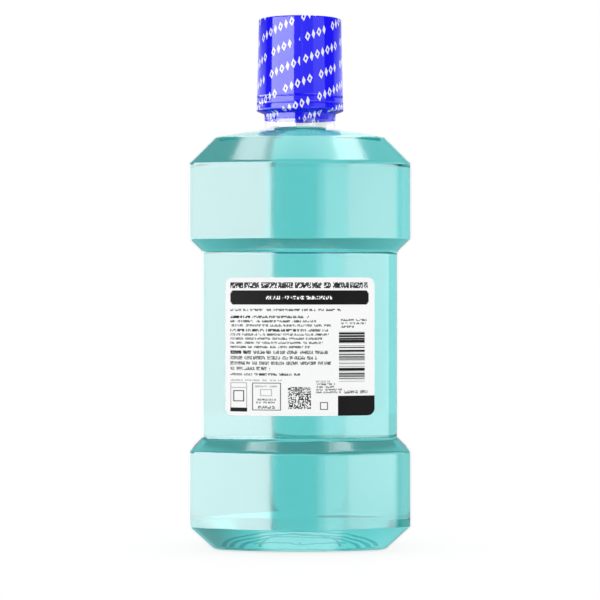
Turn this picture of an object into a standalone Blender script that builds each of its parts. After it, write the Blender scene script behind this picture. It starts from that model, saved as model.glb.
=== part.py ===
"""A one-litre mouthwash bottle, in metres, with +Z up and the origin on the ground under its middle.

A blown bottle with two wide bands and a waist is full of liquid. A squeeze-and-turn cap, which is also the
dosing cup, covers its neck, and a printed shrink film covers the cap. The labelled back faces -Y.
"""

import math

import bmesh
import bpy
import numpy as np

MM = 0.001

# Fits between pieces
SEAT_GAP = 0.3 * MM  # left between two pieces that touch
RUN_CLEARANCE = 0.35 * MM  # left where one piece turns past another
CUT_OVERRUN = 2.0 * MM

# Plan of the bottle at its bands: a long arc front and back, a flat each side, rounded corners
BODY_WIDTH = 101.4 * MM
BODY_DEPTH = 75.6 * MM
FACE_RADIUS = 96.0 * MM
CORNER_RADIUS = 7.0 * MM

# Side of the bottle, from the ground up. Every slope is given by how far it draws in and how far it climbs.
BASE_CHAMFER = 11.4 * MM
LOWER_BAND = 34.3 * MM
WAIST_STEP = 5.9 * MM
WAIST = 84.5 * MM
UPPER_BAND = 34.6 * MM
SHOULDER_INSET = 11.7 * MM
SHOULDER_RISE = 12.5 * MM
LEDGE_INSET = 3.0 * MM
LEDGE_RISE = 0.7 * MM
DOME_RISE = 3.1 * MM

# Rounding of the edges between them
BASE_FILLET = 4.0 * MM
BAND_FOOT_FILLET = 1.0 * MM
BAND_TOP_FILLET = 3.0 * MM
WAIST_FILLET = 2.5 * MM
UPPER_FOOT_FILLET = 1.6 * MM
SHOULDER_FILLET = 2.2 * MM
PLATEAU_FILLET = 2.5 * MM
SHARP_UNDER = 0.5 * MM  # a smaller fillet is left as a plain corner

# Base: a flat standing ring round a pushed-up middle with the nub of the preform's gate
STANDING_RING = 4.0 * MM
PUSH_UP = 4.5 * MM
GATE_RADIUS = 2.2 * MM
GATE_DROP = 0.8 * MM

# Walls of the bottle
WALL = 0.6 * MM
NECK_WALL = 2.3 * MM

# Neck, whose rim carries the cap
NECK_RADIUS = 14.3 * MM
NECK_HEIGHT = 21.1 * MM
NECK_FILLET = 1.2 * MM
RIM_ROUNDING = 0.4 * MM
FILL_RISE = 1.1 * MM  # liquid standing in the neck, over the shoulder

# Lugs on the neck and stops in the cap's skirt, which hold a cap that isn't squeezed
LUG_REACH = 1.7 * MM
LUG_ROOT = 0.8 * MM
LUG_HEIGHT = 3.4 * MM
LUG_LIFT = 0.4 * MM
STOP_ROOT = 0.5 * MM
LUG_DEGREES = (0, 16, 36)  # catch face, end of the crest, end of the ramp
STOP_DEGREES = (-12, -2)

# Cap
CAP_HEIGHT = 41.3 * MM
CAP_WALL = 1.1 * MM
CAP_TAPER = 1.0 * MM
CAP_TOP_THICKNESS = 1.5 * MM
CAP_EDGE_RADIUS = 0.8 * MM
RIM_CHAMFER = 0.3 * MM
SKIRT_BELOW_LAND = 12.2 * MM
THREAD_ROOM = 1.5 * MM
SQUEEZE_GAP = 1.5 * MM
LUG_HEADROOM = 0.6 * MM  # between the lugs and the threaded wall over them
LAND_SETBACK = 0.7 * MM
CUP_CHAMFER = 1.5 * MM
GROOVE_HEIGHTS = (2.4 * MM, 5.6 * MM)
GROOVE_WIDTH = 0.8 * MM
GROOVE_DEPTH = 0.25 * MM
GROOVE_SHARES = ((0.5, 0), (0.25, 1), (-0.25, 1), (-0.5, 0))  # of its width and its depth, downward

# Shrink film
FILM = 0.3 * MM
FILM_LIP = 3.2 * MM
FILM_DIP = 0.1 * MM  # into each groove of the cap
TAIL_GAP = 1.85 * MM
TAIL_LIFT = 1.2 * MM
TUCK_DEPTH = 2.4 * MM
TUCK_SHARES = ((0, 0), (0, 0.1), (0.06, 0.25), (0.82, 0.67), (0.96, 0.83), (1, 1))  # inward, downward

# Label
LABEL_WIDTH = 67.3 * MM
LABEL_HEIGHT = 62.2 * MM
LABEL_CORNER = 3.2 * MM
LABEL_THICKNESS = 0.3 * MM
LABEL_DROP = 0.4 * MM

# Fineness
FACE_STEPS = 6  # along half a long arc
CORNER_STEPS = 3
FILLET_STEPS = 2
DOME_STEPS = 4
PUSH_UP_STEPS = 4
TURN_STEPS = 48
SMOOTH_UNDER = math.radians(30)
MERGE = 0.01 * MM

# Heights worked out from the sizes above
BAND_TOP = BASE_CHAMFER + LOWER_BAND
WAIST_FOOT = BAND_TOP + WAIST_STEP
WAIST_TOP = WAIST_FOOT + WAIST
UPPER_FOOT = WAIST_TOP + WAIST_STEP
UPPER_TOP = UPPER_FOOT + UPPER_BAND
PLATEAU = UPPER_TOP + SHOULDER_RISE
DOME_TOP = PLATEAU + LEDGE_RISE + DOME_RISE
NECK_RIM = DOME_TOP + NECK_HEIGHT
CAP_RIM = NECK_RIM + SEAT_GAP - SKIRT_BELOW_LAND
THREADED_WALL_FOOT = LUG_LIFT + LUG_HEIGHT + LUG_HEADROOM  # above the cap's rim

# Radii worked out from the neck outwards
BORE_RADIUS = NECK_RADIUS - NECK_WALL
CUP_RADIUS = BORE_RADIUS + LAND_SETBACK
THREAD_BORE = NECK_RADIUS + THREAD_ROOM
THREADED_RADIUS = THREAD_BORE + CAP_WALL
SKIRT_BORE = THREADED_RADIUS + SQUEEZE_GAP
SKIRT_RADIUS = SKIRT_BORE + CAP_WALL
FILM_OFFSET = SEAT_GAP + FILM
TAIL_RADIUS = NECK_RADIUS + TAIL_GAP + FILM


def clear_scene():
    for obj in list(bpy.data.objects):
        bpy.data.objects.remove(obj, do_unlink=True)


def make_collection(name):
    collection = bpy.data.collections.new(name)
    bpy.context.scene.collection.children.link(collection)
    return collection


def make_material(name, colour, roughness, transmission=0.0):
    """A Principled material. The colour is linear."""
    material = bpy.data.materials.new(name)
    material.use_nodes = True
    shader = material.node_tree.nodes["Principled BSDF"]
    shader.inputs["Base Color"].default_value = (*colour, 1)
    shader.inputs["Roughness"].default_value = roughness
    shader.inputs["Metallic"].default_value = 0
    shader.inputs["Transmission Weight"].default_value = transmission
    return material


def add_part(name, mesh, material, parent, height=0.0):
    """A visible sub-part, whose origin is on the bottle's axis, height above its parent's."""
    mesh.materials.append(material)
    mesh.shade_smooth()
    mesh.set_sharp_from_angle(angle=SMOOTH_UNDER)
    obj = bpy.data.objects.new(name, mesh)
    PARTS.objects.link(obj)
    obj.parent = parent
    obj.location.z = height
    return obj


def add_cutter(name, mesh, parent):
    obj = bpy.data.objects.new(name, mesh)
    CUTTERS.objects.link(obj)
    obj.parent = parent
    obj.hide_render = True
    obj.display_type = "WIRE"
    return obj


def add_boolean(obj, other, operation):
    modifier = obj.modifiers.new(other.name, "BOOLEAN")
    modifier.operation = operation
    modifier.object = other


def arc_points(centre, radius, start, end, steps):
    """Points on an arc from angle start to angle end, both included."""
    angles = np.linspace(start, end, steps + 1)
    return np.column_stack((np.cos(angles), np.sin(angles))) * radius + centre


def plan_outline(inset, corner_radius):
    """The body's plan section, drawn in by inset, anticlockwise from the middle of the back."""
    half_width = BODY_WIDTH / 2 - inset
    face_radius = FACE_RADIUS - inset
    face_centre = FACE_RADIUS - BODY_DEPTH / 2
    corner_x = half_width - corner_radius
    corner_y = face_centre - math.sqrt((face_radius - corner_radius) ** 2 - corner_x**2)
    meeting = math.atan2(corner_y - face_centre, corner_x)
    face = arc_points((0, face_centre), face_radius, -math.pi / 2, meeting, FACE_STEPS)
    corner = arc_points((corner_x, corner_y), corner_radius, meeting, 0, CORNER_STEPS)
    quarter = np.vstack((face[:-1], corner, [(half_width, 0)]))
    half = np.vstack((quarter, quarter[-2::-1] * (1, -1)))
    return np.vstack((half, half[-2:0:-1] * (-1, 1)))


def plan_circle(radius):
    """A circle with as many points as the plan outline, starting at the same place."""
    count = len(plan_outline(0, CORNER_RADIUS))
    return arc_points((0, 0), radius, -math.pi / 2, 3 * math.pi / 2, count)[:-1]


def offset_corners(corners, depth):
    """Moves a chain of (inset, height, fillet) corners inwards by depth, fillets with it."""
    places = np.array([corner[:2] for corner in corners])
    along = np.diff(places, axis=0)
    along /= np.linalg.norm(along, axis=1)[:, None]
    inward = np.column_stack((along[:, 1], -along[:, 0]))
    moved = [(*(places[0] + inward[0] * depth), 0)]
    for i in range(1, len(corners) - 1):
        before, after = inward[i - 1], inward[i]
        place = places[i] + (before + after) * depth / (1 + before @ after)
        turn = along[i - 1][0] * along[i][1] - along[i - 1][1] * along[i][0]
        moved.append((*place, corners[i][2] + math.copysign(depth, turn)))
    moved.append((*(places[-1] + inward[-1] * depth), 0))
    return moved


def rounded_chain(corners):
    """Points along a chain of corners, with an arc of FILLET_STEPS at each corner that has a fillet."""
    points = [np.array(corners[0][:2])]
    for i in range(1, len(corners) - 1):
        corner = np.array(corners[i][:2])
        back = np.array(corners[i - 1][:2]) - corner
        ahead = np.array(corners[i + 1][:2]) - corner
        back /= np.linalg.norm(back)
        ahead /= np.linalg.norm(ahead)
        radius = corners[i][2]
        if radius < SHARP_UNDER:
            points.append(corner)
            continue
        half_angle = math.acos(back @ ahead) / 2
        towards_centre = (back + ahead) / np.linalg.norm(back + ahead)
        centre = corner + towards_centre * radius / math.sin(half_angle)
        first = corner + back * radius / math.tan(half_angle) - centre
        last = corner + ahead * radius / math.tan(half_angle) - centre
        start = math.atan2(first[1], first[0])
        turn = math.atan2(first[0] * last[1] - first[1] * last[0], first @ last)
        points.extend(arc_points(centre, radius, start, start + turn, FILLET_STEPS))
    points.append(np.array(corners[-1][:2]))
    return points


def at_height(outline, height):
    return np.column_stack((outline, np.full(len(outline), height)))


def fillet_run(radius):
    """How far a fillet reaches along each side of a corner between a level face and a 45 degree one."""
    return radius * math.tan(math.pi / 8)


def base_rings(depth):
    """The pushed-up base, from the gate in its middle out to the standing ring."""
    corner_radius = CORNER_RADIUS - depth
    ring = plan_outline(BASE_CHAMFER + fillet_run(BASE_FILLET) + STANDING_RING, corner_radius)
    rings = []
    for share in np.linspace(1, 0, PUSH_UP_STEPS + 1)[:-1]:
        outline = ring * (1 - share) + plan_circle(GATE_RADIUS) * share
        rings.append(at_height(outline, depth + PUSH_UP * math.sin(share * math.pi / 2)))
    return rings


def side_rings(depth):
    """The sides, from the standing ring up to the ledge of the plateau."""
    corners = (
        (BASE_CHAMFER + fillet_run(BASE_FILLET) + STANDING_RING, 0, 0),
        (BASE_CHAMFER, 0, BASE_FILLET),
        (0, BASE_CHAMFER, BAND_FOOT_FILLET),
        (0, BAND_TOP, BAND_TOP_FILLET),
        (WAIST_STEP, WAIST_FOOT, WAIST_FILLET),
        (WAIST_STEP, WAIST_TOP, WAIST_FILLET),
        (0, UPPER_FOOT, UPPER_FOOT_FILLET),
        (0, UPPER_TOP, SHOULDER_FILLET),
        (SHOULDER_INSET, PLATEAU, PLATEAU_FILLET),
        (SHOULDER_INSET + LEDGE_INSET, PLATEAU + LEDGE_RISE, 0),
    )
    chain = rounded_chain(offset_corners(corners, depth))
    return [at_height(plan_outline(inset, CORNER_RADIUS - depth), height) for inset, height in chain]


def dome_rings(ledge, radius, top):
    """The dome, which turns the ledge's outline into a circle under the neck as it climbs."""
    rings = []
    for share in np.linspace(0, 1, DOME_STEPS + 1)[1:]:
        outline = ledge[:, :2] * (1 - share) + plan_circle(radius) * share
        rise = (top - ledge[0, 2]) * math.sin(share * math.pi / 2)
        rings.append(at_height(outline, ledge[0, 2] + rise))
    return rings


def neck_foot_rings(radius, height):
    """The hollow fillet from the dome up to a neck of this radius."""
    centre = (radius + NECK_FILLET, height + NECK_FILLET)
    arc = arc_points(centre, NECK_FILLET, -math.pi / 2, -math.pi, FILLET_STEPS)
    return [at_height(plan_circle(across), up) for across, up in arc[1:]]


def body_rings(depth, neck_radius):
    """Rings of the body, depth inside its outer surface, from the gate to the foot of the neck."""
    sides = side_rings(depth)
    dome = dome_rings(sides[-1], neck_radius + NECK_FILLET, DOME_TOP - depth)
    return base_rings(depth) + sides + dome + neck_foot_rings(neck_radius, DOME_TOP - depth)


def loft(name, rings):
    """A closed mesh through rings of equally many points, which run from the bottom up."""
    count = len(rings[0])
    around = np.arange(count)
    faces = [around[::-1].tolist(), (around + count * (len(rings) - 1)).tolist()]
    for start in range(0, count * (len(rings) - 1), count):
        low, next_low = start + around, start + np.roll(around, -1)
        faces += np.column_stack((low, next_low, next_low + count, low + count)).tolist()
    mesh = bpy.data.meshes.new(name)
    mesh.from_pydata(np.vstack(rings).tolist(), [], faces)
    return mesh


def turned(obj):
    """Turns the object's profile, which runs down its outer side at +X, round the axis."""
    screw = obj.modifiers.new("turned", "SCREW")
    screw.angle = 2 * math.pi
    screw.steps = TURN_STEPS
    screw.render_steps = TURN_STEPS
    screw.use_merge_vertices = True
    screw.merge_threshold = MERGE
    screw.use_smooth_shade = True


def profile_mesh(name, points):
    mesh = bpy.data.meshes.new(name)
    edges = [(i, i + 1) for i in range(len(points) - 1)]
    mesh.from_pydata([(radius, 0, height) for radius, height in points], edges, [])
    return mesh


def plate_mesh(name, outline, thickness):
    """A flat outline, as a filled 2D curve that is extruded to both sides, made a closed mesh."""
    curve = bpy.data.curves.new(name, "CURVE")
    curve.dimensions = "2D"
    curve.fill_mode = "BOTH"
    curve.extrude = thickness / 2
    spline = curve.splines.new("POLY")
    spline.points.add(len(outline) - 1)
    spline.points.foreach_set("co", [value for x, y in outline for value in (x, y, 0, 1)])
    spline.use_cyclic_u = True
    guide = bpy.data.objects.new(name, curve)
    CUTTERS.objects.link(guide)
    evaluated = guide.evaluated_get(bpy.context.evaluated_depsgraph_get())
    mesh = bpy.data.meshes.new_from_object(evaluated)
    bpy.data.objects.remove(guide)
    shape = bmesh.new()
    shape.from_mesh(mesh)
    bmesh.ops.remove_doubles(shape, verts=shape.verts, dist=MERGE)
    bmesh.ops.recalc_face_normals(shape, faces=shape.faces)
    shape.to_mesh(mesh)
    shape.free()
    return mesh


def polar(radius, degrees):
    return (radius * math.cos(math.radians(degrees)), radius * math.sin(math.radians(degrees)))


def add_pair(name, outline, height, parent):
    """Two plates, half a turn apart, whose middle is at this height above their parent."""
    mesh = plate_mesh(name, outline, LUG_HEIGHT)
    pair = []
    for side, angle in (("left", 0), ("right", math.pi)):
        plate = add_cutter(f"{name}_{side}", mesh, parent)
        plate.location.z = height
        plate.rotation_euler.z = angle
        pair.append(plate)
    return pair


def make_bottle(root):
    neck = [
        at_height(plan_circle(NECK_RADIUS), NECK_RIM - RIM_ROUNDING),
        at_height(plan_circle(NECK_RADIUS - RIM_ROUNDING), NECK_RIM),
    ]
    gate = [at_height(plan_circle(GATE_RADIUS), PUSH_UP - GATE_DROP)]
    bottle = add_part("bottle", loft("bottle", gate + body_rings(0, NECK_RADIUS) + neck), PET, root)
    catch, crest, ramp = LUG_DEGREES
    root_radius = NECK_RADIUS - LUG_ROOT
    outline = (
        polar(root_radius, catch),
        polar(NECK_RADIUS + LUG_REACH, catch),
        polar(NECK_RADIUS + LUG_REACH, crest),
        polar(root_radius, ramp),
    )
    for lug in add_pair("neck_lug", outline, CAP_RIM + LUG_LIFT + LUG_HEIGHT / 2, root):
        add_boolean(bottle, lug, "UNION")
    mouth = [at_height(plan_circle(BORE_RADIUS), NECK_RIM + CUT_OVERRUN)]
    hollow = add_cutter("bottle_hollow", loft("bottle_hollow", body_rings(WALL, BORE_RADIUS) + mouth), root)
    add_boolean(bottle, hollow, "DIFFERENCE")


def make_mouthwash(root):
    radius = BORE_RADIUS - SEAT_GAP
    surface = [at_height(plan_circle(radius), DOME_TOP + FILL_RISE)]
    rings = body_rings(WALL + SEAT_GAP, radius) + surface
    add_part("mouthwash", loft("mouthwash", rings), LIQUID, root)


def skirt_points(offset, groove_depth):
    """The skirt's outer side, offset outwards, from the rounded top edge down to the grooves near its rim."""
    top_radius = SKIRT_RADIUS - CAP_TAPER + offset
    top = CAP_HEIGHT + offset
    edge_centre = (top_radius - CAP_EDGE_RADIUS, top - CAP_EDGE_RADIUS)
    points = list(arc_points(edge_centre, CAP_EDGE_RADIUS, math.pi / 2, 0, FILLET_STEPS))
    for height in reversed(GROOVE_HEIGHTS):
        for width_share, depth_share in GROOVE_SHARES:
            level = height + width_share * GROOVE_WIDTH
            radius = SKIRT_RADIUS - CAP_TAPER * level / CAP_HEIGHT + offset
            points.append((radius - depth_share * groove_depth, level))
    return points


def make_cap(neck_band):
    ceiling = CAP_HEIGHT - CAP_TOP_THICKNESS
    cup_outside = CUP_RADIUS + CAP_WALL
    land = SKIRT_BELOW_LAND
    points = [
        (0, CAP_HEIGHT),
        *skirt_points(0, GROOVE_DEPTH),
        (SKIRT_RADIUS, RIM_CHAMFER),
        (SKIRT_RADIUS - RIM_CHAMFER, 0),
        (SKIRT_BORE, 0),
        (SKIRT_BORE - CAP_TAPER, ceiling),
        (cup_outside, ceiling),
        (cup_outside, land + CAP_WALL),
        (THREADED_RADIUS, land + CAP_WALL),
        (THREADED_RADIUS, THREADED_WALL_FOOT),
        (THREAD_BORE, THREADED_WALL_FOOT),
        (THREAD_BORE, land),
        (CUP_RADIUS, land),
        (CUP_RADIUS, ceiling - CUP_CHAMFER),
        (CUP_RADIUS - CUP_CHAMFER, ceiling),
        (0, ceiling),
    ]
    cap = add_part("cap", profile_mesh("cap", points), CAP_PLASTIC, neck_band)
    turned(cap)
    inside = NECK_RADIUS + LUG_REACH + RUN_CLEARANCE
    outside = SKIRT_BORE + STOP_ROOT
    before, after = STOP_DEGREES
    outline = (polar(inside, before), polar(outside, before), polar(outside, after), polar(inside, after))
    for stop in add_pair("skirt_stop", outline, LUG_LIFT + LUG_HEIGHT / 2, cap):
        add_boolean(cap, stop, "UNION")
    return cap


def add_film(name, points, parent, height=0.0):
    """A turned film. The points are its outer side, and its thickness lies inside them."""
    film = add_part(name, profile_mesh(name, points), PRINTED_FILM, parent, height)
    turned(film)
    wall = film.modifiers.new("thickness", "SOLIDIFY")
    wall.thickness = FILM
    wall.offset = -1
    wall.use_even_offset = True
    return film


def make_cap_sleeve(cap):
    edge = skirt_points(FILM_OFFSET, FILM_DIP)
    lip = (edge[0][0] - FILM_LIP, edge[0][1])
    add_film("cap_sleeve", [lip, *edge, (SKIRT_RADIUS + FILM_OFFSET, 0)], cap)


def make_neck_band(root):
    top_radius = SKIRT_RADIUS + FILM_OFFSET
    tuck = [
        (top_radius + (TAIL_RADIUS - top_radius) * inward, -SEAT_GAP - TUCK_DEPTH * downward)
        for inward, downward in TUCK_SHARES
    ]
    foot = (TAIL_RADIUS, DOME_TOP + TAIL_LIFT - CAP_RIM)
    return add_film("neck_band", [*tuck, foot], root, CAP_RIM)


def make_back_label(root):
    """A sheet bent round the waist's back, cut to a rectangle with rounded corners."""
    middle = (WAIST_FOOT + WAIST_TOP) / 2 - LABEL_DROP
    radius = FACE_RADIUS - WAIST_STEP + SEAT_GAP
    half_angle = math.asin((LABEL_WIDTH / 2 + CUT_OVERRUN) / radius)
    start = -math.pi / 2 - half_angle
    arc = arc_points((0, FACE_RADIUS - BODY_DEPTH / 2), radius, start, start + 2 * half_angle, 2 * FACE_STEPS)
    half_height = LABEL_HEIGHT / 2 + CUT_OVERRUN
    count = len(arc)
    mesh = bpy.data.meshes.new("back_label")
    rows = np.vstack((at_height(arc, -half_height), at_height(arc, half_height)))
    faces = [(i, i + 1, i + 1 + count, i + count) for i in range(count - 1)]
    mesh.from_pydata(rows.tolist(), [], faces)
    label = add_part("back_label", mesh, LABEL_PAPER, root, middle)
    sheet = label.modifiers.new("thickness", "SOLIDIFY")
    sheet.thickness = LABEL_THICKNESS
    sheet.offset = 1
    across = LABEL_WIDTH / 2 - LABEL_CORNER
    up = LABEL_HEIGHT / 2 - LABEL_CORNER
    corners = ((across, up), (-across, up), (-across, -up), (across, -up))
    outline = np.vstack(
        [
            arc_points(corner, LABEL_CORNER, turn * math.pi / 2, (turn + 1) * math.pi / 2, CORNER_STEPS)
            for turn, corner in enumerate(corners)
        ]
    )
    cutter = add_cutter("label_outline", plate_mesh("label_outline", outline, BODY_DEPTH / 2), root)
    cutter.rotation_euler.x = math.pi / 2
    cutter.location = (0, -BODY_DEPTH / 2, middle)
    add_boolean(label, cutter, "INTERSECT")


clear_scene()
PARTS = make_collection("mouthwash_bottle")
CUTTERS = make_collection("cutters")
CUTTERS.hide_render = True
PET = make_material("clear_pet", (0.85, 0.97, 0.97), 0.05, transmission=1.0)
LIQUID = make_material("teal_liquid", (0.25, 0.75, 0.74), 0.0, transmission=1.0)
CAP_PLASTIC = make_material("blue_polypropylene", (0.05, 0.04, 0.75), 0.4)
PRINTED_FILM = make_material("printed_film", (0.06, 0.04, 0.9), 0.2)
LABEL_PAPER = make_material("label_film", (0.9, 0.9, 0.9), 0.4)

root = bpy.data.objects.new("mouthwash_bottle", None)
PARTS.objects.link(root)
make_bottle(root)
make_mouthwash(root)
make_back_label(root)
neck_band = make_neck_band(root)
cap = make_cap(neck_band)
make_cap_sleeve(cap)
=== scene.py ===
"""A one-litre mouthwash bottle as sold: clear bottle, teal liquid, white label, and a cap in blue film.

Everything is in metres, with +Z up and the labelled back facing -Y. The sizes named here repeat the model's.
"""

import math
from functools import partialmethod

import bmesh
import bpy
import numpy as np
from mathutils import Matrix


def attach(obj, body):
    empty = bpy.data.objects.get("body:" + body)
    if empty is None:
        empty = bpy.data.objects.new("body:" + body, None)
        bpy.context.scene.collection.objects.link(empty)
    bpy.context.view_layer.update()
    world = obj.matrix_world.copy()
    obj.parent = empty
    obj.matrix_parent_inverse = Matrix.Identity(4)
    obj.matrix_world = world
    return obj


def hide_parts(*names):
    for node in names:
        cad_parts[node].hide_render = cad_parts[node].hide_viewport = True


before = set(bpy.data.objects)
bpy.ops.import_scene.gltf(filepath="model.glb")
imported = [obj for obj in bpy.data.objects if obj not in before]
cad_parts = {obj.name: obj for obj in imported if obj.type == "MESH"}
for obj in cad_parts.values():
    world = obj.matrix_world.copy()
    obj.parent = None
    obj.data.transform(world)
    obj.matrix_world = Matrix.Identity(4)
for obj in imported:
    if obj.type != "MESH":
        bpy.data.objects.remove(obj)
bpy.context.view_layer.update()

MM = 0.001

# Camera: a long lens, level and in front of the labelled back, a little above the bottle's middle.
CAMERA_PLACE = (0.0, -1.09, 0.118)
CAMERA_LENS = 141.4
CAMERA_SHIFT = -0.0133

camera_data = bpy.data.cameras.new("camera")
camera_data.sensor_width = 36.0
camera_data.lens = CAMERA_LENS
camera_data.shift_y = CAMERA_SHIFT
camera_data.clip_start = 0.01
camera = bpy.data.objects.new("camera", camera_data)
camera.location = CAMERA_PLACE
camera.rotation_euler = (math.pi / 2, 0, 0)
bpy.context.scene.collection.objects.link(camera)
bpy.context.scene.camera = camera


# Bottle: one piece of clear PET, injection moulded as a preform, whose neck keeps its thick wall, and then
# stretch blown into a mould, which leaves a thin glossy wall and a pushed-up base with the preform's gate nub
# in its middle.
BODY_WIDTH = 101.4 * MM
BODY_DEPTH = 75.6 * MM
FACE_RADIUS = 96.0 * MM
FACE_CENTRE = FACE_RADIUS - BODY_DEPTH / 2  # how far behind the axis the labelled face's arc has its centre
CORNER_RADIUS = 7.0 * MM
WALL = 0.6 * MM
BASE_CHAMFER = 11.4 * MM
BASE_RING = 17.05 * MM  # inset of the standing ring's inner edge
PUSH_UP = 4.5 * MM
GATE_RADIUS = 2.2 * MM
GATE_DROP = 0.8 * MM
NUB_RADIUS = 1.7 * MM
WAIST_STEP = 5.9 * MM
WAIST_FOOT = 51.6 * MM
WAIST_TOP = 136.1 * MM
PLATEAU = 189.1 * MM
DOME_TOP = 192.9 * MM
NECK_RIM = 214.0 * MM
NECK_RADIUS = 14.3 * MM
BORE_RADIUS = 12.0 * MM
NECK_FILLET = 1.2 * MM
RIM_ROUNDING = 0.4 * MM
SIDE_CORNERS = (  # inset, height and fillet, from the standing ring up to the ledge under the dome
    (BASE_RING, 0, 0),
    (BASE_CHAMFER, 0, 4.0 * MM),
    (0, BASE_CHAMFER, 1.0 * MM),
    (0, 45.7 * MM, 3.0 * MM),
    (WAIST_STEP, WAIST_FOOT, 2.5 * MM),
    (WAIST_STEP, WAIST_TOP, 2.5 * MM),
    (0, 142.0 * MM, 1.6 * MM),
    (0, 176.6 * MM, 2.2 * MM),
    (11.7 * MM, PLATEAU, 2.5 * MM),
    (14.7 * MM, PLATEAU + 0.7 * MM, 0),
)
FACE_STEPS = 24
CORNER_STEPS = 12
FLAT_STEPS = 4
FILLET_STEPS = 6
RIM_STEPS = 4
BASE_STEPS = 16
DOME_STEPS = 14
POLE = 0.1 * MM  # radius of the small polygon that closes a pole
HOLD = 0.5 * MM  # from a fillet's end to the ring that keeps the flat beside it flat


def arc_points(centre, radius, start, end, steps):
    """Points at centre + radius (cos a, sin a) for angles a from start to end, both included."""
    angles = np.linspace(start, end, steps + 1)
    return np.column_stack((np.cos(angles), np.sin(angles))) * radius + centre


def plan_outline(inset, corner_radius):
    """The body's plan drawn in by inset: long arc, corner arc and flat side, mirrored to all quarters."""
    half_width = BODY_WIDTH / 2 - inset
    face_radius = FACE_RADIUS - inset
    corner_x = half_width - corner_radius
    corner_y = FACE_CENTRE - math.sqrt((face_radius - corner_radius) ** 2 - corner_x**2)
    meeting = math.atan2(corner_y - FACE_CENTRE, corner_x)
    face = arc_points((0, FACE_CENTRE), face_radius, -math.pi / 2, meeting, FACE_STEPS)
    corner = arc_points((corner_x, corner_y), corner_radius, meeting, 0, CORNER_STEPS)
    flat = np.column_stack((np.full(FLAT_STEPS, half_width), np.linspace(corner_y, 0, FLAT_STEPS + 1)[1:]))
    quarter = np.vstack((face[:-1], corner, flat))
    half = np.vstack((quarter, quarter[-2::-1] * (1, -1)))
    return np.vstack((half, half[-2:0:-1] * (-1, 1)))


COLUMNS = len(plan_outline(0, CORNER_RADIUS))
TURN = np.linspace(-math.pi / 2, 3 * math.pi / 2, COLUMNS + 1)[:-1]  # angle of each column round the axis


def level_ring(plan, height):
    """The plan's points, all at this height."""
    return np.column_stack((plan, np.full(COLUMNS, height)))


def circle(radius, height):
    """A ring with the outline's columns: (r cos a, r sin a, height). The radius may differ by column."""
    return level_ring(np.column_stack((radius * np.cos(TURN), radius * np.sin(TURN))), height)


def offset_corners(corners, depth):
    """Moves a chain of corners inwards by depth: each to where its two sides, moved by depth, meet."""
    places = np.array([corner[:2] for corner in corners])
    along = np.diff(places, axis=0)
    along /= np.linalg.norm(along, axis=1)[:, None]
    inward = np.column_stack((along[:, 1], -along[:, 0]))
    moved = [(*(places[0] + inward[0] * depth), 0)]
    for i in range(1, len(corners) - 1):
        before, after = inward[i - 1], inward[i]
        place = places[i] + (before + after) * depth / (1 + before @ after)
        turn = along[i - 1][0] * along[i][1] - along[i - 1][1] * along[i][0]
        moved.append((*place, corners[i][2] + math.copysign(depth, turn)))
    moved.append((*(places[-1] + inward[-1] * depth), 0))
    return moved


def rounded_chain(corners):
    """Points along a chain, with an arc at each corner and a holding point beside each end of the arc."""
    points = [np.array(corners[0][:2])]
    for i in range(1, len(corners) - 1):
        corner = np.array(corners[i][:2])
        back = np.array(corners[i - 1][:2]) - corner
        ahead = np.array(corners[i + 1][:2]) - corner
        back /= np.linalg.norm(back)
        ahead /= np.linalg.norm(ahead)
        radius = corners[i][2]
        half_angle = math.acos(back @ ahead) / 2
        towards_centre = (back + ahead) / np.linalg.norm(back + ahead)
        centre = corner + towards_centre * radius / math.sin(half_angle)
        reach = radius / math.tan(half_angle)
        first = corner + back * reach - centre
        last = corner + ahead * reach - centre
        start = math.atan2(first[1], first[0])
        turn = math.atan2(first[0] * last[1] - first[1] * last[0], first @ last)
        points.append(corner + back * (reach + HOLD))
        points.extend(arc_points(centre, radius, start, start + turn, FILLET_STEPS))
        points.append(corner + ahead * (reach + HOLD))
    points.append(np.array(corners[-1][:2]))
    return points


def dome_rings(outline, middle, foot, rise, shares):
    """Rings of a dome: at each share s, outline (1 - s) + middle s at height foot + rise sin(s pi / 2)."""
    return [
        level_ring(outline * (1 - share) + middle * share, foot + rise * math.sin(share * math.pi / 2))
        for share in shares
    ]


def body_rings(depth, neck_radius):
    """Rings of the body, depth inside its outer side: the base's dome, the side chain, the shoulder's dome
    and the fillet into a neck of this radius."""
    chain = rounded_chain(offset_corners(SIDE_CORNERS, depth))
    sides = [level_ring(plan_outline(inset, CORNER_RADIUS - depth), height) for inset, height in chain]
    base_outline = plan_outline(BASE_RING, CORNER_RADIUS - depth)
    base_middle = circle(GATE_RADIUS, 0)[:, :2]
    base = dome_rings(base_outline, base_middle, depth, PUSH_UP, np.linspace(1, 0, BASE_STEPS + 1)[:-1])
    ledge, ledge_height = sides[-1][:, :2], sides[-1][0, 2]
    top = DOME_TOP - depth
    dome_middle = circle(neck_radius + NECK_FILLET, 0)[:, :2]
    shares = np.linspace(0, 1, DOME_STEPS + 1)[1:]
    dome = dome_rings(ledge, dome_middle, ledge_height, top - ledge_height, shares)
    centre = (neck_radius + NECK_FILLET, top + NECK_FILLET)
    fillet = arc_points(centre, NECK_FILLET, -math.pi / 2, -math.pi, FILLET_STEPS)[1:]
    return base + sides + dome + [circle(r, z) for r, z in fillet]


MERGE_DISTANCE = 0.002 * MM


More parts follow.
